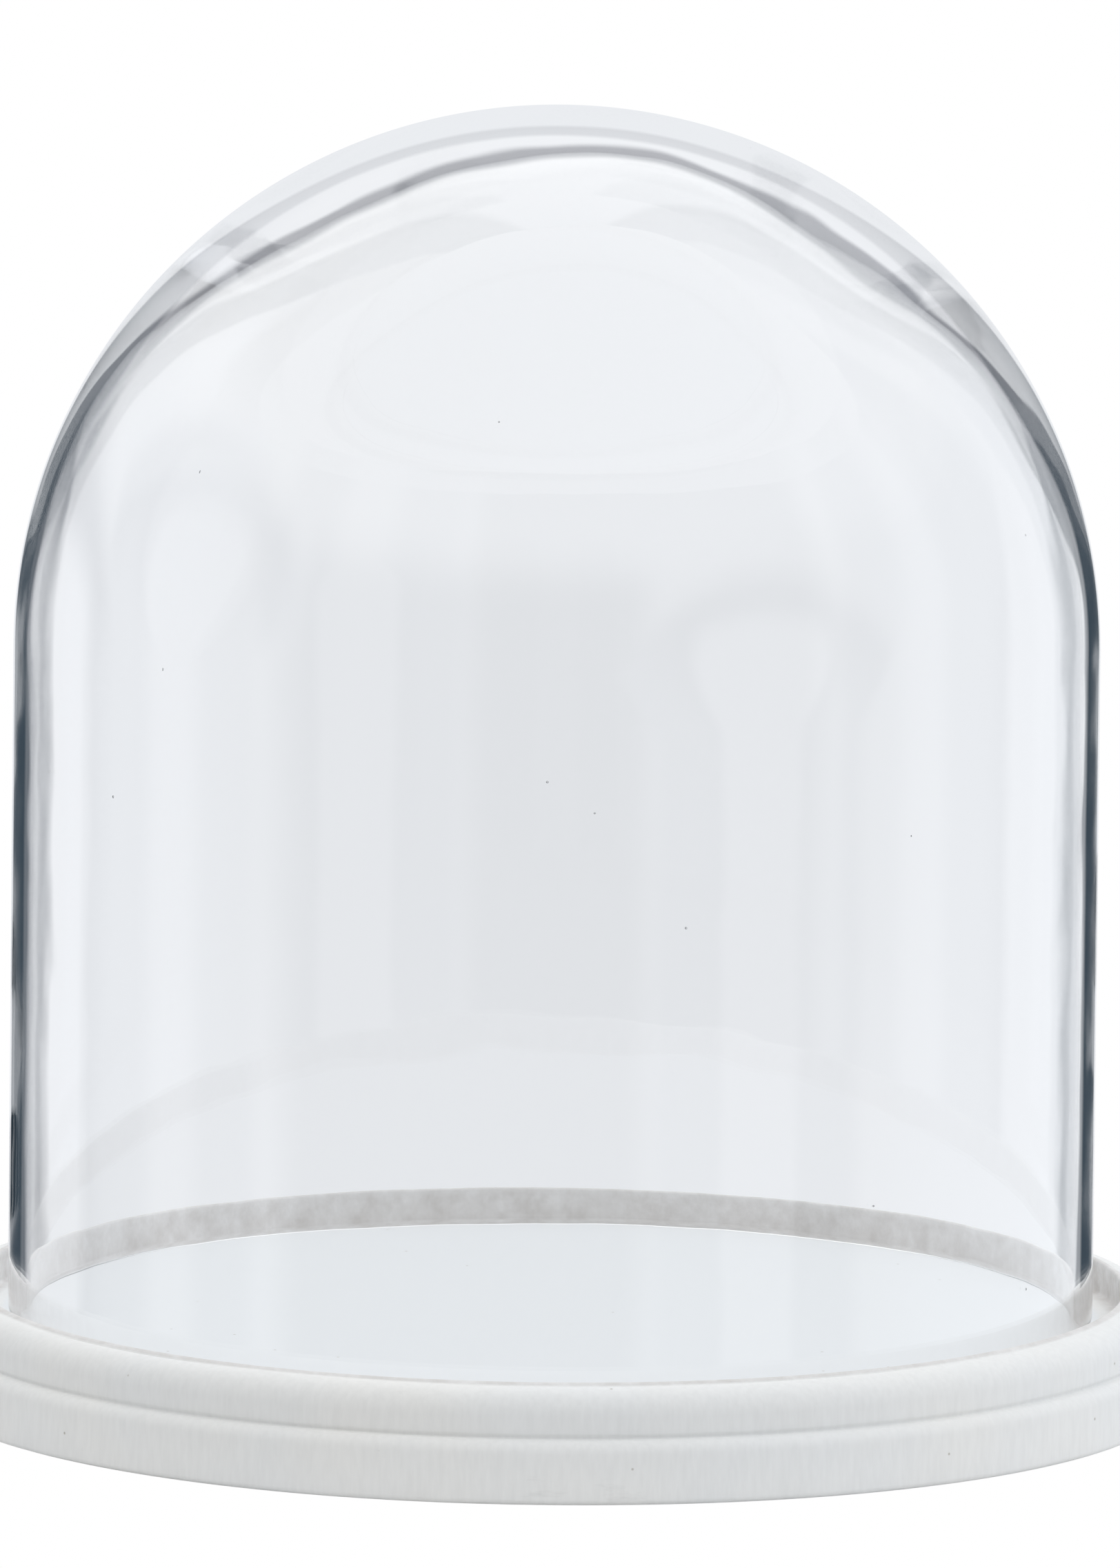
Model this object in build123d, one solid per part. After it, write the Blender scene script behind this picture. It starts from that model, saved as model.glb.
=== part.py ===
from build123d import *
from build123d.topology import SkipClean
import math
import os

# A display cloche: a blown glass dome that stands loose in the shallow recess of a turned,
# white-washed wooden base, on four rubber feet. Millimetres, +Z up. The origin is on the
# standing surface, under the centre of the base.

# Turned base
BASE_DIAMETER = 231.0
BASE_THICKNESS = 21.2
BASE_BOTTOM_ROUND = 1.2
PLINTH_HEIGHT = 11.9
PLINTH_TOP_ROUND = 2.6
GROOVE_DIAMETER = 223.4
MOULDING_DIAMETER = 225.6
MOULDING_FOOT_HEIGHT = 1.1
MOULDING_FOOT_RADIUS = 1.6
MOULDING_CROWN_HEIGHT = 5.4
LAND_DIAMETER = 214.6
RECESS_DIAMETER = 211.0
RECESS_DEPTH = 6.0
RECESS_EDGE_ROUND = 0.5
RECESS_CORNER_ROUND = 0.6
DISPLAY_FLOOR_DIAMETER = 189.0

# Glass dome
DOME_DIAMETER = 200.0
DOME_HEIGHT = 224.3
GLASS_WALL = 3.2
CROWN_WALL = 7.8
RIM_ROUND = 1.4
SEAT_GAP = 0.2

# Rubber feet, each seated in a pocket drilled in the underside
FOOT_COUNT = 4
FOOT_DIAMETER = 16.0
FOOT_THICKNESS = 2.6
FOOT_PROUD = 1.0
FOOT_EDGE_ROUND = 0.4
FOOT_CIRCLE_DIAMETER = 176.0
FOOT_START_ANGLE = 45.0

underside_z = FOOT_PROUD
base_top_z = underside_z + BASE_THICKNESS
recess_floor_z = base_top_z - RECESS_DEPTH
rim_z = recess_floor_z + SEAT_GAP


def turned(outline):
    """The solid that a closed half-outline (radius, height) sweeps about the vertical axis."""
    return revolve(Plane.XZ * make_face(outline), Axis.Z, revolution_arc=360, clean=False)


def foot_places():
    """The centres of the feet on their circle, at the underside of the base."""
    places = []
    for index in range(FOOT_COUNT):
        angle = math.radians(FOOT_START_ANGLE + index * 360 / FOOT_COUNT)
        reach = FOOT_CIRCLE_DIAMETER / 2
        places.append(Pos(reach * math.cos(angle), reach * math.sin(angle), underside_z))
    return places


def base_outline():
    """Half-outline of the base: plinth, groove, half-round moulding, flat land and recess.

    The recess floor is one level surface in two faces: the disc that a displayed thing stands on,
    and the ring around it that the rim of the glass stands on."""
    plinth_r = BASE_DIAMETER / 2
    groove_r = GROOVE_DIAMETER / 2
    moulding_r = MOULDING_DIAMETER / 2
    land_r = LAND_DIAMETER / 2
    recess_r = RECESS_DIAMETER / 2
    corner_r = recess_r - RECESS_CORNER_ROUND
    display_r = DISPLAY_FLOOR_DIAMETER / 2
    ledge_z = underside_z + PLINTH_HEIGHT
    plinth_side_top = ledge_z - PLINTH_TOP_ROUND
    crown_z = base_top_z - MOULDING_CROWN_HEIGHT
    moulding_foot_z = ledge_z + MOULDING_FOOT_HEIGHT
    outline = [
        Line((0, underside_z), (plinth_r - BASE_BOTTOM_ROUND, underside_z)),
        CenterArc(
            (plinth_r - BASE_BOTTOM_ROUND, underside_z + BASE_BOTTOM_ROUND), BASE_BOTTOM_ROUND, 270, 90
        ),
        Line((plinth_r, underside_z + BASE_BOTTOM_ROUND), (plinth_r, plinth_side_top)),
        CenterArc((plinth_r - PLINTH_TOP_ROUND, plinth_side_top), PLINTH_TOP_ROUND, 0, 90),
        Line((plinth_r - PLINTH_TOP_ROUND, ledge_z), (groove_r, ledge_z)),
        RadiusArc((groove_r, ledge_z), (moulding_r, moulding_foot_z), -MOULDING_FOOT_RADIUS),
        Line((moulding_r, moulding_foot_z), (moulding_r, crown_z)),
        EllipticalCenterArc(
            (land_r, crown_z), moulding_r - land_r, MOULDING_CROWN_HEIGHT, start_angle=0, arc_size=90
        ),
        Line((land_r, base_top_z), (recess_r + RECESS_EDGE_ROUND, base_top_z)),
        CenterArc(
            (recess_r + RECESS_EDGE_ROUND, base_top_z - RECESS_EDGE_ROUND), RECESS_EDGE_ROUND, 90, 90
        ),
        Line(
            (recess_r, base_top_z - RECESS_EDGE_ROUND), (recess_r, recess_floor_z + RECESS_CORNER_ROUND)
        ),
        CenterArc((corner_r, recess_floor_z + RECESS_CORNER_ROUND), RECESS_CORNER_ROUND, 270, 90),
        Line((corner_r, recess_floor_z), (display_r, recess_floor_z)),
        Line((display_r, recess_floor_z), (0, recess_floor_z)),
        Line((0, recess_floor_z), (0, underside_z)),
    ]
    return outline


def make_base():
    """The turned base, with a drilled pocket for each foot."""
    base = turned(base_outline())
    pocket_depth = FOOT_THICKNESS - FOOT_PROUD
    pocket = extrude(Circle(FOOT_DIAMETER / 2), pocket_depth)
    with SkipClean():
        base -= [place * pocket for place in foot_places()]
    return base


def make_foot(place):
    """One foot: a rubber disc with a rounded lower edge, seated up in its pocket."""
    disc = Pos(0, 0, -FOOT_PROUD) * extrude(Circle(FOOT_DIAMETER / 2), FOOT_THICKNESS)
    lower_edge = disc.edges().sort_by(Axis.Z)[0]
    return place * fillet(lower_edge, FOOT_EDGE_ROUND)


def dome_outline():
    """Half-outline of the glass: round outside, thicker towards the crown, with a rounded rim."""
    outer_r = DOME_DIAMETER / 2
    inner_r = outer_r - GLASS_WALL
    inner_crown = outer_r - CROWN_WALL
    spring_z = rim_z + DOME_HEIGHT - outer_r
    round_z = rim_z + RIM_ROUND
    outline = [
        CenterArc((0, spring_z), outer_r, 0, 90),
        Line((outer_r, spring_z), (outer_r, round_z)),
        CenterArc((outer_r - RIM_ROUND, round_z), RIM_ROUND, 270, 90),
        Line((outer_r - RIM_ROUND, rim_z), (inner_r + RIM_ROUND, rim_z)),
        CenterArc((inner_r + RIM_ROUND, round_z), RIM_ROUND, 180, 90),
        Line((inner_r, round_z), (inner_r, spring_z)),
        EllipticalCenterArc((0, spring_z), inner_r, inner_crown, start_angle=0, arc_size=90),
        Line((0, spring_z + inner_crown), (0, spring_z + outer_r)),
    ]
    return outline


def main():
    os.makedirs("parts", exist_ok=True)
    pieces = {"turned_base": make_base(), "glass_dome": turned(dome_outline())}
    for number, place in enumerate(foot_places(), start=1):
        pieces[f"rubber_foot_{number}"] = make_foot(place)
    for name, piece in pieces.items():
        export_step(piece, f"parts/{name}.step")
        print(name, "volume mm3", round(piece.volume))


main()
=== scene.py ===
import math

import bpy
import numpy as np
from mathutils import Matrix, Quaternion, Vector


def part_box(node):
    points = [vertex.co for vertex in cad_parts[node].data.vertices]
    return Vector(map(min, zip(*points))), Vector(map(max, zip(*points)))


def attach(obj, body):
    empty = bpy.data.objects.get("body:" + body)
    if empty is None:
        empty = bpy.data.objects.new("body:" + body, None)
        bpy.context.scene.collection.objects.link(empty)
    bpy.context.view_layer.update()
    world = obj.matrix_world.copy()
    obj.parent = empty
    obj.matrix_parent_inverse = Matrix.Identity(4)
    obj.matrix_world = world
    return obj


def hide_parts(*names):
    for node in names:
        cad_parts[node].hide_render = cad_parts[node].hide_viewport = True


# The looks of a display cloche: a blown glass dome standing in the recess of a turned,
# white-washed base on four rubber feet. Lengths are in metres, except that a name ending in _MM is
# in millimetres, and one ending in _PER_MM is a number of marks in each millimetre.
MM = 0.001
FOOT_COUNT = 4

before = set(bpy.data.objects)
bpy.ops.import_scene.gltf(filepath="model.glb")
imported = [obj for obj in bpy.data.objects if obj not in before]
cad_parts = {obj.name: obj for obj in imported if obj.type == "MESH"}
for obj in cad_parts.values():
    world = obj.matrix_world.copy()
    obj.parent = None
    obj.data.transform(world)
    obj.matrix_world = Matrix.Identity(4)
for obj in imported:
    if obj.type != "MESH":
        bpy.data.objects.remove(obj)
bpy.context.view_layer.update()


# ---------------------------------------------------------------- helpers

def linear(hex_colour):
    """An sRGB hex colour as the linear red, green, blue and alpha that sockets take."""
    shares = [int(hex_colour[i:i + 2], 16) / 255 for i in (1, 3, 5)]
    return tuple(s / 12.92 if s <= 0.04045 else ((s + 0.055) / 1.055) ** 2.4 for s in shares) + (1.0,)


def add(tree, kind, inputs=None, **settings):
    """Adds one node, with its settings, and its inputs set to values or linked to sockets."""
    node = tree.nodes.new(kind)
    for name, value in settings.items():
        setattr(node, name, value)
    for key, value in (inputs or {}).items():
        if isinstance(value, bpy.types.NodeSocket):
            tree.links.new(value, node.inputs[key])
        else:
            node.inputs[key].default_value = value
    return node


def new_material(name):
    """An empty material with its output node."""
    material = bpy.data.materials.new(name)
    material.use_nodes = True
    material.node_tree.nodes.clear()
    return material, material.node_tree, material.node_tree.nodes.new("ShaderNodeOutputMaterial")


def arc(centre, radii, start, sweep, steps):
    """Points (radius, height) along an arc in the half-plane beside the axis, angles in degrees."""
    points = []
    for i in range(steps + 1):
        angle = math.radians(start + sweep * i / steps)
        points.append((centre[0] + radii[0] * math.cos(angle), centre[1] + radii[1] * math.sin(angle)))
    return points


def smooth(low, high, x):
    """0 below low, 1 above high, and an even S between."""
    t = min(max((x - low) / (high - low), 0.0), 1.0)
    return t * t * (3 - 2 * t)


# ---------------------------------------------------------------- geometry trees

# Points nearer than this are one: the first and last columns of the grid, and the poles.
MERGE_DISTANCE = 1e-6
# The noise behind the dips hardly ever leaves this range.
DIP_NOISE = (0.3, 0.7)
# An edge that folds more sharply than this, in radians, is drawn crisp.
CRISP_FOLD = 0.6
# How much narrower, wider or flatter a seed may be than a ball, along each of its own axes.
LEAST_STRETCH = (0.5, 0.6, 0.4)
MOST_STRETCH = (1.0, 1.5, 0.8)


def turning_tree():
    """Turns a half-outline about the vertical axis, then lets its surface dip inwards in places.

    The outline is a row of points with x as the radius. Each point's "dip" says how far the surface
    may fall below its true place there, as blown or hand-sanded surfaces do. Its "skin" says what
    finish the surface has there, and is carried over for the materials."""
    tree = bpy.data.node_groups.new("turned about the axis", "GeometryNodeTree")
    for name, kind in (
        ("Outline", "Geometry"), ("Steps around", "Int"), ("Dip width", "Float"), ("Dip seed", "Float"),
        ("Finish", "Material"),
    ):
        tree.interface.new_socket(name, in_out="INPUT", socket_type="NodeSocket" + kind)
    tree.interface.new_socket("Turned piece", in_out="OUTPUT", socket_type="NodeSocketGeometry")
    given = add(tree, "NodeGroupInput").outputs
    rows = add(tree, "GeometryNodeAttributeDomainSize", {"Geometry": given["Outline"]}).outputs["Point Count"]
    columns = add(tree, "ShaderNodeMath", {0: given["Steps around"], 1: 1.0}, operation="ADD").outputs[0]
    grid = add(tree, "GeometryNodeMeshGrid", {"Vertices X": columns, "Vertices Y": rows})
    index = add(tree, "GeometryNodeInputIndex").outputs[0]
    row = add(tree, "ShaderNodeMath", {0: index, 1: rows}, operation="MODULO").outputs[0]
    column = add(tree, "ShaderNodeMath", {0: index, 1: rows}, operation="DIVIDE")
    column = add(tree, "ShaderNodeMath", {0: column.outputs[0]}, operation="FLOOR").outputs[0]
    turn = add(tree, "ShaderNodeMath", {0: column, 1: given["Steps around"]}, operation="DIVIDE").outputs[0]
    angle = add(tree, "ShaderNodeMath", {0: turn, 1: math.tau}, operation="MULTIPLY").outputs[0]
    place = add(tree, "GeometryNodeInputPosition").outputs[0]
    outline_point = add(
        tree, "GeometryNodeSampleIndex", {"Geometry": given["Outline"], "Value": place, "Index": row},
        data_type="FLOAT_VECTOR", domain="POINT",
    ).outputs["Value"]
    from_axis = add(tree, "ShaderNodeSeparateXYZ", {0: outline_point}).outputs
    cosine = add(tree, "ShaderNodeMath", {0: angle}, operation="COSINE").outputs[0]
    sine = add(tree, "ShaderNodeMath", {0: angle}, operation="SINE").outputs[0]
    across = add(tree, "ShaderNodeMath", {0: from_axis["X"], 1: cosine}, operation="MULTIPLY").outputs[0]
    along = add(tree, "ShaderNodeMath", {0: from_axis["X"], 1: sine}, operation="MULTIPLY").outputs[0]
    turned = add(tree, "ShaderNodeCombineXYZ", {"X": across, "Y": along, "Z": from_axis["Z"]}).outputs[0]
    dip_name = add(tree, "GeometryNodeInputNamedAttribute", {"Name": "dip"}, data_type="FLOAT")
    skin_name = add(tree, "GeometryNodeInputNamedAttribute", {"Name": "skin"}, data_type="FLOAT")
    marked = grid.outputs["Mesh"]
    for name, field in (("dip", dip_name), ("skin", skin_name)):
        value = add(
            tree, "GeometryNodeSampleIndex",
            {"Geometry": given["Outline"], "Value": field.outputs["Attribute"], "Index": row},
            data_type="FLOAT", domain="POINT",
        ).outputs["Value"]
        marked = add(
            tree, "GeometryNodeStoreNamedAttribute",
            {"Geometry": marked, "Name": name, "Value": value}, data_type="FLOAT", domain="POINT",
        ).outputs[0]
    shaped = add(tree, "GeometryNodeSetPosition", {"Geometry": marked, "Position": turned}).outputs[0]
    closed = add(
        tree, "GeometryNodeMergeByDistance", {"Geometry": shaped, "Distance": MERGE_DISTANCE}
    ).outputs[0]
    width = add(tree, "ShaderNodeMath", {0: 1.0, 1: given["Dip width"]}, operation="DIVIDE").outputs[0]
    noise = add(
        tree, "ShaderNodeTexNoise",
        {"Vector": place, "W": given["Dip seed"], "Scale": width, "Detail": 1.0, "Roughness": 0.4},
        noise_dimensions="4D",
    ).outputs[0]
    spread = add(
        tree, "ShaderNodeMapRange",
        {"Value": noise, "From Min": DIP_NOISE[0], "From Max": DIP_NOISE[1], "To Min": 0.0, "To Max": -1.0},
    ).outputs[0]
    depth = add(tree, "ShaderNodeMath", {0: spread, 1: dip_name.outputs["Attribute"]}, operation="MULTIPLY")
    normal = add(tree, "GeometryNodeInputNormal").outputs[0]
    offset = add(
        tree, "ShaderNodeVectorMath", {0: normal, "Scale": depth.outputs[0]}, operation="SCALE"
    ).outputs[0]
    dipped = add(tree, "GeometryNodeSetPosition", {"Geometry": closed, "Offset": offset}).outputs[0]
    soft = add(tree, "GeometryNodeSetShadeSmooth", {"Geometry": dipped}).outputs[0]
    real = add(tree, "GeometryNodeRealizeInstances", {"Geometry": soft}).outputs[0]
    done = add(tree, "GeometryNodeSetMaterial", {"Geometry": real, "Material": given["Finish"]}).outputs[0]
    add(tree, "NodeGroupOutput", {"Turned piece": done})
    return tree


def seeds_tree():
    """Adds seeds, the small gas bubbles caught in blown glass, as closed hollows inside the wall.

    They are sunk from the outside of the glass, which is where its "skin" is 1."""
    tree = bpy.data.node_groups.new("seeds in the glass", "GeometryNodeTree")
    for name, kind in (
        ("Glass", "Geometry"), ("Seeds per square metre", "Float"), ("Depth", "Float"),
        ("Seed radius", "Float"), ("Seed", "Int"), ("Finish", "Material"),
    ):
        tree.interface.new_socket(name, in_out="INPUT", socket_type="NodeSocket" + kind)
    tree.interface.new_socket("Seeded glass", in_out="OUTPUT", socket_type="NodeSocketGeometry")
    given = add(tree, "NodeGroupInput").outputs
    skin = add(
        tree, "GeometryNodeInputNamedAttribute", {"Name": "skin"}, data_type="FLOAT"
    ).outputs["Attribute"]
    outside = add(
        tree, "FunctionNodeCompare", {"A": skin, "B": 0.5}, data_type="FLOAT", operation="GREATER_THAN"
    )
    scattered = add(
        tree, "GeometryNodeDistributePointsOnFaces",
        {
            "Mesh": given["Glass"], "Selection": outside.outputs[0],
            "Density": given["Seeds per square metre"], "Seed": given["Seed"],
        },
    ).outputs
    inward = add(tree, "ShaderNodeMath", {0: given["Depth"], 1: -1.0}, operation="MULTIPLY").outputs[0]
    offset = add(tree, "ShaderNodeVectorMath", {0: scattered["Normal"], "Scale": inward}, operation="SCALE")
    sunk = add(
        tree, "GeometryNodeSetPosition", {"Geometry": scattered["Points"], "Offset": offset.outputs[0]}
    ).outputs[0]
    bubble = add(
        tree, "GeometryNodeMeshUVSphere", {"Segments": 12, "Rings": 8, "Radius": given["Seed radius"]}
    )
    hollow = add(tree, "GeometryNodeFlipFaces", {"Mesh": bubble.outputs["Mesh"]}).outputs[0]
    stretch = add(
        tree, "FunctionNodeRandomValue",
        {"Min": LEAST_STRETCH, "Max": MOST_STRETCH, "Seed": given["Seed"]}, data_type="FLOAT_VECTOR",
    ).outputs["Value"]
    placed = add(
        tree, "GeometryNodeInstanceOnPoints",
        {"Points": sunk, "Instance": hollow, "Rotation": scattered["Rotation"], "Scale": stretch},
    ).outputs[0]
    joined = add(tree, "GeometryNodeJoinGeometry", {"Geometry": given["Glass"]})
    tree.links.new(placed, joined.inputs["Geometry"])
    soft = add(tree, "GeometryNodeSetShadeSmooth", {"Geometry": joined.outputs[0]}).outputs[0]
    real = add(tree, "GeometryNodeRealizeInstances", {"Geometry": soft}).outputs[0]
    done = add(tree, "GeometryNodeSetMaterial", {"Geometry": real, "Material": given["Finish"]}).outputs[0]
    add(tree, "NodeGroupOutput", {"Seeded glass": done})
    return tree


def pockets_tree():
    """Drills a ring of round pockets up into a level face, and draws sharply folded edges crisp.

    Each drill stands as far below the face as above it, so its upper half makes the pocket."""
    tree = bpy.data.node_groups.new("pockets on a circle", "GeometryNodeTree")
    for name, kind in (
        ("Piece", "Geometry"), ("Pockets", "Int"), ("Circle radius", "Float"), ("Start angle", "Float"),
        ("Pocket radius", "Float"), ("Pocket depth", "Float"), ("Face height", "Float"),
        ("Finish", "Material"),
    ):
        tree.interface.new_socket(name, in_out="INPUT", socket_type="NodeSocket" + kind)
    tree.interface.new_socket("Drilled piece", in_out="OUTPUT", socket_type="NodeSocketGeometry")
    given = add(tree, "NodeGroupInput").outputs
    ring = add(
        tree, "GeometryNodeMeshCircle", {"Vertices": given["Pockets"], "Radius": given["Circle radius"]}
    ).outputs[0]
    turn = add(tree, "ShaderNodeCombineXYZ", {"Z": given["Start angle"]}).outputs[0]
    lift = add(tree, "ShaderNodeCombineXYZ", {"Z": given["Face height"]}).outputs[0]
    placed = add(
        tree, "GeometryNodeTransform", {"Geometry": ring, "Translation": lift, "Rotation": turn}
    ).outputs[0]
    reach = add(tree, "ShaderNodeMath", {0: given["Pocket depth"], 1: 2.0}, operation="MULTIPLY").outputs[0]
    drill = add(
        tree, "GeometryNodeMeshCylinder",
        {"Vertices": 48, "Radius": given["Pocket radius"], "Depth": reach},
    ).outputs["Mesh"]
    drills = add(tree, "GeometryNodeInstanceOnPoints", {"Points": placed, "Instance": drill}).outputs[0]
    solid_drills = add(tree, "GeometryNodeRealizeInstances", {"Geometry": drills}).outputs[0]
    drilled = add(
        tree, "GeometryNodeMeshBoolean", {"Mesh 1": given["Piece"], "Mesh 2": solid_drills},
        operation="DIFFERENCE", solver="EXACT",
    ).outputs["Mesh"]
    fold = add(tree, "GeometryNodeInputMeshEdgeAngle").outputs["Unsigned Angle"]
    folded = add(
        tree, "FunctionNodeCompare", {"A": fold, "B": CRISP_FOLD}, data_type="FLOAT",
        operation="GREATER_THAN",
    )
    crisp = add(
        tree, "GeometryNodeSetShadeSmooth",
        {"Geometry": drilled, "Selection": folded.outputs[0], "Shade Smooth": False}, domain="EDGE",
    ).outputs[0]
    real = add(tree, "GeometryNodeRealizeInstances", {"Geometry": crisp}).outputs[0]
    done = add(tree, "GeometryNodeSetMaterial", {"Geometry": real, "Material": given["Finish"]}).outputs[0]
    add(tree, "NodeGroupOutput", {"Drilled piece": done})
    return tree


def grown(name, start, steps):
    """A plain mesh object made by running geometry trees, with their inputs, one after another."""
    source = bpy.data.objects.new(name + "_source", start)
    bpy.context.scene.collection.objects.link(source)
    for tree, values in steps:
        modifier = source.modifiers.new(tree.name, "NODES")
        modifier.node_group = tree
        for item in tree.interface.items_tree:
            if item.in_out == "INPUT" and item.name in values:
                modifier[item.identifier] = values[item.name]
    graph = bpy.context.evaluated_depsgraph_get()
    mesh = bpy.data.meshes.new_from_object(source.evaluated_get(graph), depsgraph=graph)
    mesh.name = name
    source.modifiers.clear()
    bpy.data.objects.remove(source)
    piece = bpy.data.objects.new(name, mesh)
    bpy.context.scene.collection.objects.link(piece)
    return piece


def outline_mesh(points):
    """A row of points (radius, height, dip, skin) as the mesh that the turning tree takes."""
    mesh = bpy.data.meshes.new("outline")
    mesh.from_pydata([(p[0], 0.0, p[1]) for p in points], [(i, i + 1) for i in range(len(points) - 1)], [])
    for column, name in ((2, "dip"), (3, "skin")):
        values = mesh.attributes.new(name, "FLOAT", "POINT").data
        for value, point in zip(values, points):
            value.value = point[column]
    return mesh


# ---------------------------------------------------------------- outlines

# The last number given to arc, between or curve is how many steps that stretch is drawn in.

def between(start, end, steps):
    """Points (radius, height) evenly spaced on a straight line, without its first point."""
    return [
        (start[0] + (end[0] - start[0]) * i / steps, start[1] + (end[1] - start[1]) * i / steps)
        for i in range(1, steps + 1)
    ]


def curve(start, pull, end, steps):
    """Points along a bend from start to end, drawn towards pull, without the first point."""
    points = []
    for i in range(1, steps + 1):
        t = i / steps
        near, middle, far = (1 - t) ** 2, 2 * t * (1 - t), t * t
        points.append(tuple(near * a + middle * b + far * c for a, b, c in zip(start, pull, end)))
    return points


GLASS_WALL_MM = 3.2
CROWN_WALL_MM = 7.8
RIM_ROUND_MM = 1.4
# How far the blown surface may dip: the outside, the inside of the wall and the inside of the crown.
OUTER_DIP_MM = 0.03
SIDE_DIP_MM = 0.03
CROWN_DIP_MM = 0.15
# The inside's dips start above the rim, and grow to the crown's around where the dome springs.
BODY_RISE_MM = (10.0, 40.0)
SHOULDER_RISE_MM = (-15.0, 45.0)


def dome_outline(low, high):
    """Outline of the glass from the top of its inside, down, round the rim and up the outside.

    Its "skin" is 1 on the outside and 0 elsewhere, and the rim has no dip."""
    outer = high.x
    inner = outer - GLASS_WALL_MM * MM
    crown = outer - CROWN_WALL_MM * MM
    spring = high.z - outer
    rim_round = RIM_ROUND_MM * MM
    rim = low.z
    outside = arc((0, spring), (outer, outer), 90, -90, 84)
    outside += between((outer, spring), (outer, rim + rim_round), 40)
    rounded = arc((outer - rim_round, rim + rim_round), (rim_round, rim_round), 0, -90, 7)[1:]
    rounded += arc((inner + rim_round, rim + rim_round), (rim_round, rim_round), 270, -90, 7)
    inside = between((inner, rim + rim_round), (inner, spring), 42)
    inside += arc((0, spring), (inner, crown), 0, 90, 84)[1:]
    points = [(r, z, OUTER_DIP_MM * MM, 1.0) for r, z in outside]
    points += [(r, z, 0.0, 0.0) for r, z in rounded]
    for r, z in inside:
        body = smooth(rim + BODY_RISE_MM[0] * MM, rim + BODY_RISE_MM[1] * MM, z)
        shoulder = smooth(spring + SHOULDER_RISE_MM[0] * MM, spring + SHOULDER_RISE_MM[1] * MM, z)
        dip = (SIDE_DIP_MM + (CROWN_DIP_MM - SIDE_DIP_MM) * shoulder) * body
        points.append((r, z, dip * MM, 0.0))
    # Both ends lie exactly on the axis, so that the poles close.
    points[0] = (0.0, *points[0][1:])
    points[-1] = (0.0, *points[-1][1:])
    return points[::-1]


BOTTOM_ROUND_MM = 1.2
PLINTH_HEIGHT_MM = 11.9
PLINTH_ROUND_MM = 2.6
GROOVE_RADIUS_MM = 111.7
MOULDING_RADIUS_MM = 112.8
MOULDING_FOOT_MM = 1.1
MOULDING_CROWN_MM = 5.4
LAND_RADIUS_MM = 107.3
LAND_FALL_MM = 0.45
RECESS_RADIUS_MM = 105.5
RECESS_DEPTH_MM = 6.0
RECESS_EDGE_MM = 0.5
RECESS_CORNER_MM = 0.6
# The fillet of wash in the groove bends towards a point this far outside the groove.
GROOVE_FILL_MM = 0.57
WOOD_DIP_MM = 0.25
# The "skin" of the wood: 0 under brushed wash, 1 bare, -1 under the smooth sprayed wash of the floor.
# Bare is the recess wall: its mottle is real bare wood, and its darkness is partly painted shade of the
# recess.
# The land is mixed most of the way to the darker bare colour, as painted shade that dims this upward face.
BRUSHED = 0.0
LAND_PAINTED_SHADE = 0.8
BARE_WALL_WITH_SHADE = 1.0
FLOOR_SKIN = -1.0


def base_outline(low, high):
    """Outline of the base from the middle of its underside, up the outside and in over the recess.

    The groove under the moulding is rounded by the wash that gathers in it."""
    plinth = high.x
    bottom_round = BOTTOM_ROUND_MM * MM
    ledge = low.z + PLINTH_HEIGHT_MM * MM
    side_top = ledge - PLINTH_ROUND_MM * MM
    groove = GROOVE_RADIUS_MM * MM
    moulding = MOULDING_RADIUS_MM * MM
    moulding_foot = ledge + MOULDING_FOOT_MM * MM
    land = LAND_RADIUS_MM * MM
    crown = high.z - MOULDING_CROWN_MM * MM
    land_edge = high.z - LAND_FALL_MM * MM
    recess = RECESS_RADIUS_MM * MM
    edge = RECESS_EDGE_MM * MM
    corner = RECESS_CORNER_MM * MM
    floor = high.z - RECESS_DEPTH_MM * MM
    under = [(0.0, low.z)] + between((0.0, low.z), (plinth - bottom_round, low.z), 12)
    side = arc((plinth - bottom_round, low.z + bottom_round), (bottom_round, bottom_round), -90, 90, 8)[1:]
    side += between((plinth, low.z + bottom_round), (plinth, side_top), 8)
    side += arc((plinth - PLINTH_ROUND_MM * MM, side_top), (PLINTH_ROUND_MM * MM,) * 2, 0, 90, 12)[1:]
    swell = arc((groove, moulding_foot), (moulding - groove, moulding_foot - ledge), -35, 35, 4)
    side += curve(side[-1], (groove + GROOVE_FILL_MM * MM, ledge), swell[0], 8)
    side += swell[1:]
    side += between((moulding, moulding_foot), (moulding, crown), 4)
    side += arc((land, crown), (moulding - land, land_edge - crown), 0, 90, 20)[1:]
    land_line = between((land, land_edge), (recess + edge, high.z), 3)
    land_line += arc((recess + edge, high.z - edge), (edge, edge), 90, 90, 6)[1:]
    wall = between((recess, high.z - edge), (recess, floor + corner), 6)
    wall += arc((recess - corner, floor + corner), (corner, corner), 0, -90, 6)[1:]
    inside = between((recess - corner, floor), (0.0, floor), 24)
    points = [(r, z, 0.0, BRUSHED) for r, z in under]
    points += [(r, z, WOOD_DIP_MM * MM, BRUSHED) for r, z in side]
    # The land is darkened towards the bare colour as painted shade.
    points += [(r, z, 0.0, LAND_PAINTED_SHADE) for r, z in land_line]
    # The recess wall is bare wood, drawn darker as painted shade of the recess.
    points += [(r, z, 0.0, BARE_WALL_WITH_SHADE) for r, z in wall]
    points += [(r, z, 0.0, FLOOR_SKIN) for r, z in inside]
    return points


# ---------------------------------------------------------------- materials

# The colour sockets of a Mix node go by number, because it has several sockets of each name.
MIX_A, MIX_B, MIX_OUT = 6, 7, 2

# White-wash on turned wood: a little warmer or cooler in patches about 45 mm across.
WASH_PATCHES_PER_MM = 0.022
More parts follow.
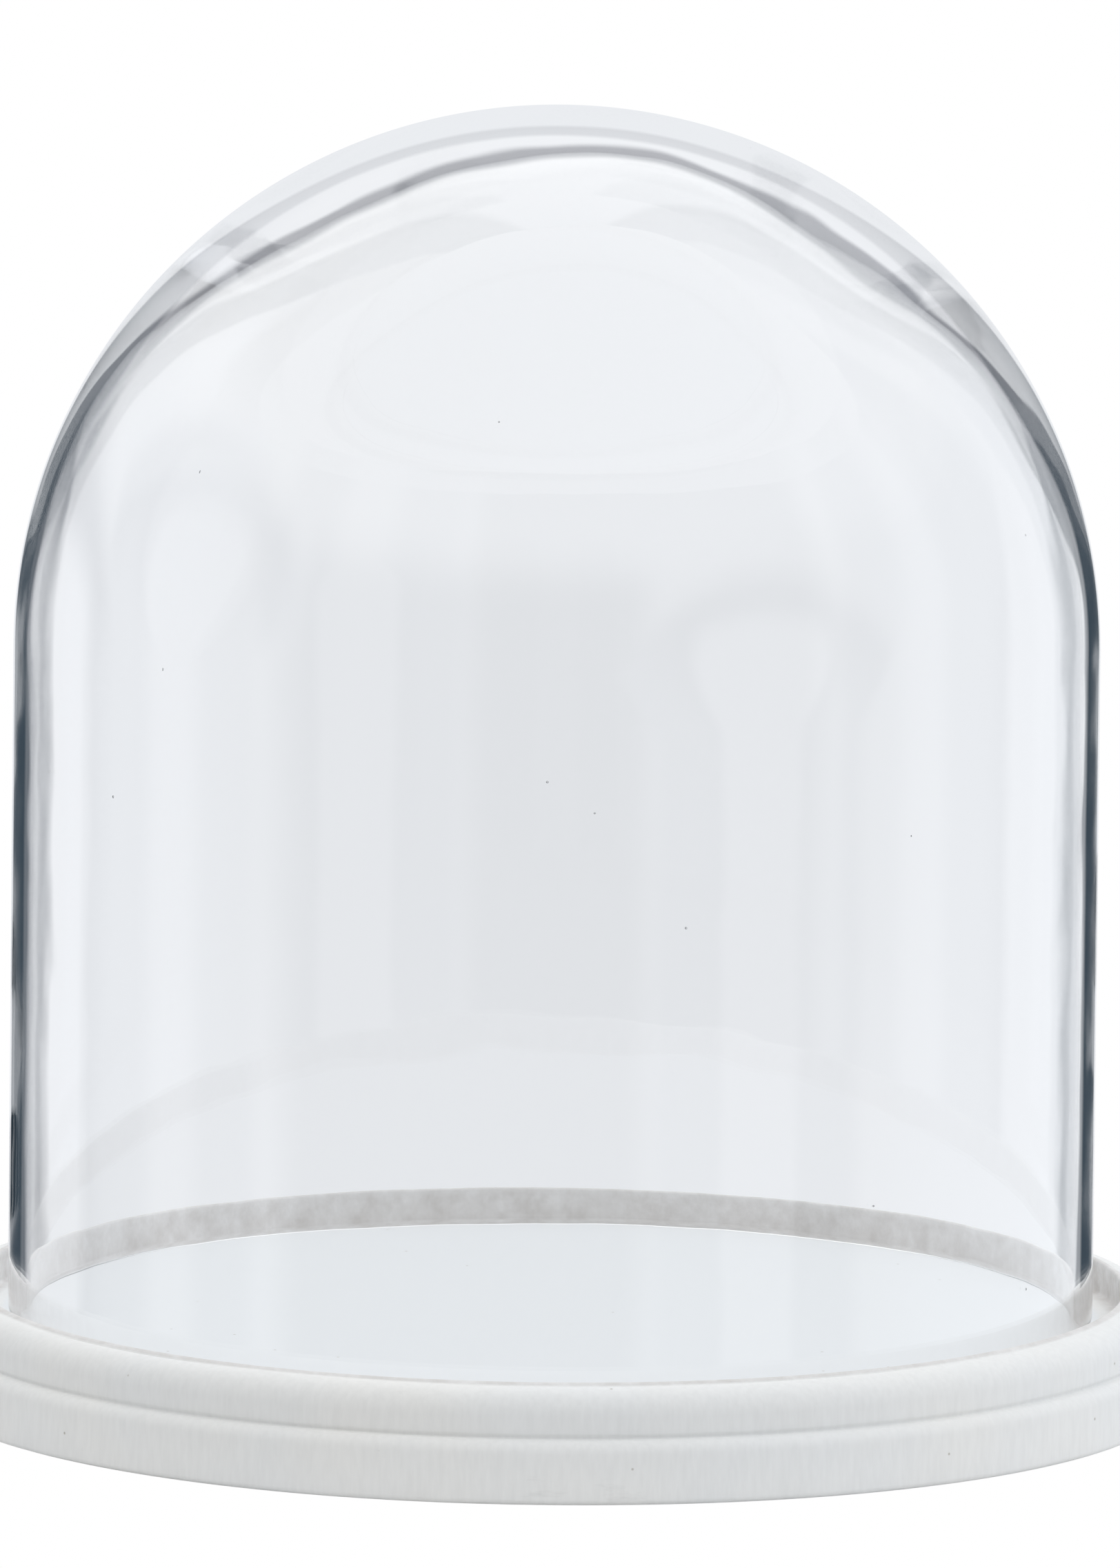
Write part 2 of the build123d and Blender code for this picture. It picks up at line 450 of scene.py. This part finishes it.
# Real brush marks are about 0.3 mm apart, too fine to show, so they are drawn 1.1 mm apart, and
# about six times as tall.
STROKES_PER_MM = 0.9
STROKE_SQUASH = 0.18
# Places rubbed darker by handling, about 33 mm long and a quarter as high.
RUBS_PER_MM = 0.03
RUB_SQUASH = 4.0
# One in fourteen of the cells, 4 mm apart, holds an open pore, which fades out 0.35 mm from its
# middle.
PORES_PER_MM = 0.26
PORE_RARITY = 0.93
# Bare turned wood is mottled about every 4 mm, with finer marks between.
BARE_GRAIN_PER_MM = 0.24
WOOD_BUMP_MM = 0.15

# Blown glass: its surface ripples about every 22 mm.
GLASS_IOR = 1.52
RIPPLES_PER_MM = 0.045
RIPPLE_BUMP_MM = 0.08

# Moulded rubber: real mould grain is about 0.1 mm, too fine to show, so it is drawn 0.7 mm apart.
RUBBER_GRAIN_PER_MM = 1.5
RUBBER_BUMP_MM = 0.1


def whitewashed_wood():
    """Turned hardwood under a chalky white-wash, which leaves it matt and nearly white.

    The sides are brushed upright and a little rubbed, with some pores left open. The wall of the
    recess is bare wood, drawn darker as painted shade of the recess. The land around it is mixed towards
    that darker colour as painted shade, and its floor is sprayed smooth: "skin" says which."""
    material, tree, output = new_material("whitewashed_turned_wood")
    place = add(tree, "ShaderNodeTexCoord").outputs["Object"]
    skin = add(tree, "ShaderNodeAttribute", attribute_name="skin").outputs["Fac"]
    patches = add(
        tree, "ShaderNodeTexNoise", {"Vector": place, "Scale": WASH_PATCHES_PER_MM / MM, "Detail": 3.0}
    ).outputs[0]
    wash = add(
        tree, "ShaderNodeMix", {0: patches, MIX_A: linear("#F0EEE9"), MIX_B: linear("#E8EBED")},
        data_type="RGBA",
    ).outputs[MIX_OUT]
    upright = add(
        tree, "ShaderNodeMapping", {"Vector": place, "Scale": (1.0, 1.0, STROKE_SQUASH)}
    ).outputs[0]
    strokes = add(
        tree, "ShaderNodeTexNoise",
        {"Vector": upright, "Scale": STROKES_PER_MM / MM, "Detail": 2.0, "Roughness": 0.6},
    ).outputs[0]
    stroke_shade = add(
        tree, "ShaderNodeMapRange",
        {"Value": strokes, "From Min": 0.35, "From Max": 0.7, "To Min": 1.0, "To Max": 0.96},
    ).outputs[0]
    brushed = add(
        tree, "ShaderNodeMix", {0: 1.0, MIX_A: wash, MIX_B: stroke_shade},
        data_type="RGBA", blend_type="MULTIPLY",
    ).outputs[MIX_OUT]
    flat = add(tree, "ShaderNodeMapping", {"Vector": place, "Scale": (1.0, 1.0, RUB_SQUASH)}).outputs[0]
    rubs = add(
        tree, "ShaderNodeTexNoise",
        {"Vector": flat, "Scale": RUBS_PER_MM / MM, "Detail": 5.0, "Roughness": 0.7},
    ).outputs[0]
    rub_shade = add(
        tree, "ShaderNodeMapRange",
        {"Value": rubs, "From Min": 0.64, "From Max": 0.74, "To Min": 1.0, "To Max": 0.90},
    ).outputs[0]
    handled = add(
        tree, "ShaderNodeMix", {0: 1.0, MIX_A: brushed, MIX_B: rub_shade},
        data_type="RGBA", blend_type="MULTIPLY",
    ).outputs[MIX_OUT]
    sprayed = add(
        tree, "ShaderNodeMapRange",
        {"Value": skin, "From Min": FLOOR_SKIN / 2, "From Max": FLOOR_SKIN, "To Min": 0.0, "To Max": 1.0},
    ).outputs[0]
    washed = add(
        tree, "ShaderNodeMix", {0: sprayed, MIX_A: handled, MIX_B: linear("#E5E8EA")}, data_type="RGBA"
    ).outputs[MIX_OUT]
    cells = add(
        tree, "ShaderNodeTexVoronoi", {"Vector": place, "Scale": PORES_PER_MM / MM, "Randomness": 1.0},
        feature="F1",
    ).outputs
    chance = add(tree, "ShaderNodeSeparateColor", {0: cells["Color"]}).outputs[0]
    chosen = add(tree, "ShaderNodeMath", {0: chance, 1: PORE_RARITY}, operation="GREATER_THAN").outputs[0]
    near = add(
        tree, "ShaderNodeMapRange",
        {"Value": cells["Distance"], "From Min": 0.03, "From Max": 0.09, "To Min": 1.0, "To Max": 0.0},
    ).outputs[0]
    pore = add(tree, "ShaderNodeMath", {0: chosen, 1: near}, operation="MULTIPLY").outputs[0]
    pored = add(
        tree, "ShaderNodeMix", {0: pore, MIX_A: washed, MIX_B: linear("#BBB7AF")}, data_type="RGBA"
    ).outputs[MIX_OUT]
    grain = add(
        tree, "ShaderNodeTexNoise",
        {"Vector": place, "Scale": BARE_GRAIN_PER_MM / MM, "Detail": 4.0, "Roughness": 0.65},
    ).outputs[0]
    grain_shade = add(
        tree, "ShaderNodeMapRange", {"Value": grain, "From Min": 0.3, "From Max": 0.7}
    ).outputs[0]
    # The bare colours are darker than the wash partly as painted shade: the recess wall and the land take
    # them.
    bare_wood_with_shade = add(
        tree, "ShaderNodeMix", {0: grain_shade, MIX_A: linear("#CCC9C6"), MIX_B: linear("#E3E2E1")},
        data_type="RGBA",
    ).outputs[MIX_OUT]
    colour = add(
        tree, "ShaderNodeMix", {0: skin, MIX_A: pored, MIX_B: bare_wood_with_shade}, data_type="RGBA"
    ).outputs[MIX_OUT]
    height = add(tree, "ShaderNodeMath", {0: pore, 1: -1.5, 2: strokes}, operation="MULTIPLY_ADD").outputs[0]
    bump = add(
        tree, "ShaderNodeBump", {"Height": height, "Strength": 0.2, "Distance": WOOD_BUMP_MM * MM}
    ).outputs[0]
    shader = add(
        tree, "ShaderNodeBsdfPrincipled",
        {"Base Color": colour, "Roughness": 0.82, "Specular IOR Level": 0.3, "Normal": bump},
    ).outputs[0]
    tree.links.new(shader, output.inputs["Surface"])
    return material


def blown_glass():
    """Clear soda-lime glass, blown and fire-polished: colourless, sharp reflections, faint ripples.

    Shadow and diffuse rays pass straight through, so what stands under the glass is softly lit."""
    material, tree, output = new_material("clear_blown_soda_lime_glass")
    place = add(tree, "ShaderNodeTexCoord").outputs["Object"]
    ripple = add(
        tree, "ShaderNodeTexNoise", {"Vector": place, "Scale": RIPPLES_PER_MM / MM, "Detail": 1.0}
    ).outputs[0]
    bump = add(
        tree, "ShaderNodeBump", {"Height": ripple, "Strength": 1.0, "Distance": RIPPLE_BUMP_MM * MM}
    ).outputs[0]
    glass = add(
        tree, "ShaderNodeBsdfGlass",
        {"Color": linear("#FFFFFF"), "Roughness": 0.0, "IOR": GLASS_IOR, "Normal": bump},
    ).outputs[0]
    path = add(tree, "ShaderNodeLightPath").outputs
    soft_light = add(
        tree, "ShaderNodeMath", {0: path["Is Shadow Ray"], 1: path["Is Diffuse Ray"]}, operation="MAXIMUM"
    ).outputs[0]
    clear = add(tree, "ShaderNodeBsdfTransparent", {"Color": linear("#FFFFFF")}).outputs[0]
    shader = add(tree, "ShaderNodeMixShader", {0: soft_light, 1: glass, 2: clear}).outputs[0]
    tree.links.new(shader, output.inputs["Surface"])
    return material


def foot_rubber():
    """Pale grey rubber, moulded: matt, with a grain from the mould."""
    material, tree, output = new_material("moulded_pale_rubber")
    place = add(tree, "ShaderNodeTexCoord").outputs["Object"]
    grain = add(
        tree, "ShaderNodeTexNoise", {"Vector": place, "Scale": RUBBER_GRAIN_PER_MM / MM, "Detail": 2.0}
    ).outputs[0]
    colour = add(
        tree, "ShaderNodeMix", {0: grain, MIX_A: linear("#CFCFCD"), MIX_B: linear("#DADAD8")},
        data_type="RGBA",
    ).outputs[MIX_OUT]
    bump = add(
        tree, "ShaderNodeBump", {"Height": grain, "Strength": 0.3, "Distance": RUBBER_BUMP_MM * MM}
    ).outputs[0]
    shader = add(
        tree, "ShaderNodeBsdfPrincipled",
        {"Base Color": colour, "Roughness": 0.7, "Specular IOR Level": 0.35, "Normal": bump},
    ).outputs[0]
    tree.links.new(shader, output.inputs["Surface"])
    return material


# ---------------------------------------------------------------- pieces

BASE_STEPS_AROUND = 360
DOME_STEPS_AROUND = 320
# How wide a dip in the wood or the glass is, and which pattern of dips it has.
WOOD_DIP_WIDTH_MM = 35.0
WOOD_DIP_SEED = 1.0
GLASS_DIP_WIDTH_MM = 62.0
GLASS_DIP_SEED = 3.0
# Seeds in the glass: about 15 in all, at the middle of its side wall.
SEEDS_PER_SQUARE_METRE = 110.0
SEED_DEPTH_MM = 1.6
SEED_RADIUS_MM = 0.26
SEED_PATTERN = 5
# Thick and thin places inside the crown: angle over the top from -X, depth along Y, how far each
# reaches across and along Y, and how much glass it adds, all in degrees and millimetres.
THICK_PLACES = [
    (58.0, 0.0, 19.0, 60.0, 1.4),
    (100.0, 0.0, 20.0, 60.0, -0.7),
    (127.0, 0.0, 16.0, 60.0, 1.1),
]


def thicken_inside(piece, high):
    """Swells the inside of the glass at its thick places and hollows it at its thin ones."""
    mesh = piece.data
    count = len(mesh.vertices)
    place = np.empty(count * 3, "f4")
    facing = np.empty(count * 3, "f4")
    dip = np.empty(count, "f4")
    skin = np.empty(count, "f4")
    mesh.vertices.foreach_get("co", place)
    mesh.vertices.foreach_get("normal", facing)
    mesh.attributes["dip"].data.foreach_get("value", dip)
    mesh.attributes["skin"].data.foreach_get("value", skin)
    place = place.reshape(-1, 3)
    facing = facing.reshape(-1, 3)
    # The rim has no dip, so it stays as it is.
    inside = ((skin < 0.5) & (dip > 0)).astype("f4")
    radius = high.x
    swell = np.zeros(count, "f4")
    for angle, depth, across, along, glass_mm in THICK_PLACES:
        turn = math.radians(angle)
        x = place[:, 0] + radius * math.cos(turn)
        y = place[:, 1] - depth * MM
        z = place[:, 2] - (high.z - radius) - radius * math.sin(turn)
        reach = (x * x + z * z) / (across * MM) ** 2 + y * y / (along * MM) ** 2
        swell += glass_mm * MM * np.exp(-reach / 2)
    place += facing * (swell * inside)[:, None]
    mesh.vertices.foreach_set("co", place.ravel())
    mesh.update()


turning = turning_tree()
seeding = seeds_tree()
drilling = pockets_tree()
wood = whitewashed_wood()
glass = blown_glass()
rubber = foot_rubber()

base_low, base_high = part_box("turned_base")
foot_low, foot_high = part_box("rubber_foot_1")
foot_x = (foot_low.x + foot_high.x) / 2
foot_y = (foot_low.y + foot_high.y) / 2
base = grown(
    "whitewashed_base", outline_mesh(base_outline(base_low, base_high)),
    [
        (turning, {
            "Steps around": BASE_STEPS_AROUND, "Dip width": WOOD_DIP_WIDTH_MM * MM,
            "Dip seed": WOOD_DIP_SEED, "Finish": wood,
        }),
        (drilling, {
            "Pockets": FOOT_COUNT, "Circle radius": math.hypot(foot_x, foot_y),
            "Start angle": math.atan2(foot_y, foot_x), "Pocket radius": foot_high.x - foot_x,
            "Pocket depth": foot_high.z - base_low.z, "Face height": base_low.z, "Finish": wood,
        }),
    ],
)
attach(base, "base")
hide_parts("turned_base")

dome_low, dome_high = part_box("glass_dome")
dome = grown(
    "blown_glass_dome", outline_mesh(dome_outline(dome_low, dome_high)),
    [
        (turning, {
            "Steps around": DOME_STEPS_AROUND, "Dip width": GLASS_DIP_WIDTH_MM * MM,
            "Dip seed": GLASS_DIP_SEED, "Finish": glass,
        }),
        (seeding, {
            "Seeds per square metre": SEEDS_PER_SQUARE_METRE, "Depth": SEED_DEPTH_MM * MM,
            "Seed radius": SEED_RADIUS_MM * MM, "Seed": SEED_PATTERN, "Finish": glass,
        }),
    ],
)
thicken_inside(dome, dome_high)
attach(dome, "dome")
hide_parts("glass_dome")

for number in range(1, FOOT_COUNT + 1):
    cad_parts[f"rubber_foot_{number}"].material_slots[0].material = rubber


# ---------------------------------------------------------------- light, floor and camera

# Lights are linear red, green, blue and alpha. Bearings go round from +Y towards +X, in degrees.
# Screens around the table: bearing, how far each is full on either side, where it ends, its light.
SCREEN_LIGHT = (0.86, 0.87, 0.89, 1.0)
REAR_LIGHT = (0.28, 0.29, 0.30, 1.0)
RIGHT_LIGHT = (1.08, 1.12, 1.18, 1.0)
SCREENS = [(65.0, 20.0, 50.0, RIGHT_LIGHT), (-160.0, 34.0, 46.0, REAR_LIGHT)]
# The tent over the table: how high up it begins and is full, and its light at -X and at +X.
TENT_RISE = (20.0, 34.0)
TENT_LEFT = (1.07, 1.06, 1.04, 1.0)
TENT_RIGHT = (1.25, 1.28, 1.33, 1.0)
# The light from far below the table's level: how low it begins and is full.
DEEP_RISE = (-38.0, -44.0)
DEEP_LIGHT = (0.6, 0.6, 0.6, 1.0)
# Hoops: bearing, how far its middle lies below the horizon, softness, its light and its panel's.
HOOP_LIGHT = (0.045, 0.065, 0.085, 1.0)
PANEL_LIGHT = (0.83, 0.85, 0.88, 1.0)
PALE_HOOP_LIGHT = (0.50, 0.52, 0.55, 1.0)
PALE_PANEL_LIGHT = (0.84, 0.85, 0.88, 1.0)
HOOPS = [
    (-45.0, 25.0, 8.0, PALE_HOOP_LIGHT, PALE_PANEL_LIGHT),
    (-90.0, 3.0, 8.0, PALE_HOOP_LIGHT, PALE_PANEL_LIGHT),
    (135.0, 15.0, 8.0, PALE_HOOP_LIGHT, PALE_PANEL_LIGHT),
    (0.0, 9.2, 3.0, HOOP_LIGHT, PANEL_LIGHT),
]
HOOP_TOP_LIGHT = (0.22, 0.23, 0.26, 1.0)
# Angles from a hoop's middle to its outer edge and to its panel's, beside the middle and above it.
HOOP_REACH = (27.0, 41.0)
PANEL_REACH = (10.8, 34.5)
# Where a side begins to bend and where it has become the top, as the square of the sine from level.
HOOP_BENDS = (0.0, 0.3)
PANEL_BENDS = (0.1, 0.85)
SEEN_LIGHT = (1.0, 1.0, 1.0, 1.0)


def studio_light():
    """A bright room with screens to the sides and a tent over the table.

    Four hoops stand around it, each about a paler panel: a dark one behind the cloche and three grey
    ones. The edges of clear glass show what stands to the sides, so the hoops draw its outline. The
    camera sees plain white."""
    world = bpy.data.worlds.new("studio")
    bpy.context.scene.world = world
    world.use_nodes = True
    tree = world.node_tree
    tree.nodes.clear()
    output = tree.nodes.new("ShaderNodeOutputWorld")
    toward = add(tree, "ShaderNodeTexCoord").outputs["Generated"]
    unit = add(tree, "ShaderNodeVectorMath", {0: toward}, operation="NORMALIZE").outputs[0]
    axes = add(tree, "ShaderNodeSeparateXYZ", {0: unit}).outputs
    rise = add(tree, "ShaderNodeMath", {0: axes["Z"]}, operation="ARCSINE").outputs[0]
    rise = add(tree, "ShaderNodeMath", {0: rise}, operation="DEGREES").outputs[0]
    bearing = add(tree, "ShaderNodeMath", {0: axes["X"], 1: axes["Y"]}, operation="ARCTAN2").outputs[0]
    bearing = add(tree, "ShaderNodeMath", {0: bearing}, operation="DEGREES").outputs[0]

    def turned_from(centre):
        """How many degrees of bearing lie between a direction and the centre, either way."""
        turn = add(tree, "ShaderNodeMath", {0: bearing, 1: centre}, operation="SUBTRACT").outputs[0]
        turn = add(tree, "ShaderNodeMath", {0: turn, 1: -180.0, 2: 180.0}, operation="WRAP").outputs[0]
        return add(tree, "ShaderNodeMath", {0: turn}, operation="ABSOLUTE").outputs[0]

    def blend(level, light, value, start, end):
        """The light, wherever the value has gone from start to end."""
        share = add(
            tree, "ShaderNodeMapRange", {"Value": value, "From Min": start, "From Max": end},
            interpolation_type="SMOOTHSTEP",
        ).outputs[0]
        return add(
            tree, "ShaderNodeMix", {0: share, MIX_A: level, MIX_B: light}, data_type="RGBA"
        ).outputs[MIX_OUT]

    level = SCREEN_LIGHT
    for centre, full, end, light in SCREENS:
        level = blend(level, light, turned_from(centre), end, full)
    side = add(
        tree, "ShaderNodeMapRange", {"Value": axes["X"], "From Min": -1.0, "From Max": 1.0}
    ).outputs[0]
    tent = add(
        tree, "ShaderNodeMix", {0: side, MIX_A: TENT_LEFT, MIX_B: TENT_RIGHT}, data_type="RGBA"
    ).outputs[MIX_OUT]
    level = blend(level, tent, rise, *TENT_RISE)
    level = blend(level, DEEP_LIGHT, rise, *DEEP_RISE)
    for centre, drop, soft, hoop_light, panel_light in HOOPS:
        turn = turned_from(centre)
        lift = add(tree, "ShaderNodeMath", {0: rise, 1: drop}, operation="ADD").outputs[0]
        lift = add(tree, "ShaderNodeMath", {0: lift, 1: 0.0}, operation="MAXIMUM").outputs[0]
        lift_square = add(tree, "ShaderNodeMath", {0: lift, 1: lift}, operation="MULTIPLY").outputs[0]
        square = add(
            tree, "ShaderNodeMath", {0: turn, 1: turn, 2: lift_square}, operation="MULTIPLY_ADD"
        ).outputs[0]
        reach = add(tree, "ShaderNodeMath", {0: square}, operation="SQRT").outputs[0]
        upward = add(tree, "ShaderNodeMath", {0: lift_square, 1: square}, operation="DIVIDE").outputs[0]
        hoop_light = blend(hoop_light, HOOP_TOP_LIGHT, upward, *PANEL_BENDS)
        for (beside, above), bends, light in (
            (HOOP_REACH, HOOP_BENDS, hoop_light), (PANEL_REACH, PANEL_BENDS, panel_light),
        ):
            edge = add(
                tree, "ShaderNodeMapRange",
                {
                    "Value": upward, "From Min": bends[0], "From Max": bends[1],
                    "To Min": beside, "To Max": above,
                },
                interpolation_type="SMOOTHSTEP",
            ).outputs[0]
            full = add(tree, "ShaderNodeMath", {0: edge, 1: soft}, operation="SUBTRACT").outputs[0]
            level = blend(level, light, reach, edge, full)
    seen = add(tree, "ShaderNodeLightPath").outputs["Is Camera Ray"]
    colour = add(
        tree, "ShaderNodeMix", {0: seen, MIX_A: level, MIX_B: SEEN_LIGHT}, data_type="RGBA"
    ).outputs[MIX_OUT]
    light = add(tree, "ShaderNodeBackground", {"Color": colour, "Strength": 1.0}).outputs[0]
    tree.links.new(light, output.inputs["Surface"])


TABLE_RADIUS = 0.17
TABLE_STEPS = 96
TABLE_REFLECTANCE = 0.9


def pale_floor(radius, steps):
    """A round white table top under the base, which the camera sees as plain white."""
    material, tree, output = new_material("white_table_top")
    matt = add(
        tree, "ShaderNodeBsdfDiffuse", {"Color": (TABLE_REFLECTANCE,) * 3 + (1.0,)}
    ).outputs[0]
    glow = add(tree, "ShaderNodeEmission", {"Color": SEEN_LIGHT, "Strength": 1.0}).outputs[0]
    seen = add(tree, "ShaderNodeLightPath").outputs["Is Camera Ray"]
    shader = add(tree, "ShaderNodeMixShader", {0: seen, 1: matt, 2: glow}).outputs[0]
    tree.links.new(shader, output.inputs["Surface"])
    ring = [
        (radius * math.cos(math.tau * i / steps), radius * math.sin(math.tau * i / steps), 0.0)
        for i in range(steps)
    ]
    mesh = bpy.data.meshes.new("table_top")
    mesh.from_pydata(ring, [], [tuple(range(steps))])
    mesh.materials.append(material)
    floor = bpy.data.objects.new("table_top", mesh)
    bpy.context.scene.collection.objects.link(floor)


studio_light()
pale_floor(TABLE_RADIUS, TABLE_STEPS)

# The camera looks at CAMERA_AIM from in front, a little above. FRAME_LENGTH is how much it takes in
# along the longer side of its frame at that distance.
CAMERA_DISTANCE = 8.0
CAMERA_ELEVATION = math.radians(9.2)
CAMERA_ROLL = math.radians(-0.6)
CAMERA_AIM = Vector((0.0008, 0.0, 0.11537))
FRAME_LENGTH = 0.2886
SENSOR_MM = 36.0
camera = bpy.data.objects.new("camera", bpy.data.cameras.new("camera"))
bpy.context.scene.collection.objects.link(camera)
camera.data.sensor_width = SENSOR_MM
camera.data.lens = SENSOR_MM * CAMERA_DISTANCE / FRAME_LENGTH
back = Vector((0.0, -math.cos(CAMERA_ELEVATION), math.sin(CAMERA_ELEVATION)))
camera.location = CAMERA_AIM + CAMERA_DISTANCE * back
camera.rotation_mode = "QUATERNION"
camera.rotation_quaternion = (-back).to_track_quat("-Z", "Y")
camera.rotation_quaternion.rotate(Quaternion(-back, CAMERA_ROLL))
bpy.context.scene.camera = camera

# A ray crosses the glass several times on its way through, so it needs room to bounce.
CLEAR_BOUNCES = 24
GLOSSY_BOUNCES = 12
bpy.context.scene.view_settings.view_transform = "Standard"
bpy.context.scene.cycles.max_bounces = CLEAR_BOUNCES
bpy.context.scene.cycles.transmission_bounces = CLEAR_BOUNCES
bpy.context.scene.cycles.glossy_bounces = GLOSSY_BOUNCES
bpy.context.scene.cycles.use_denoising = True
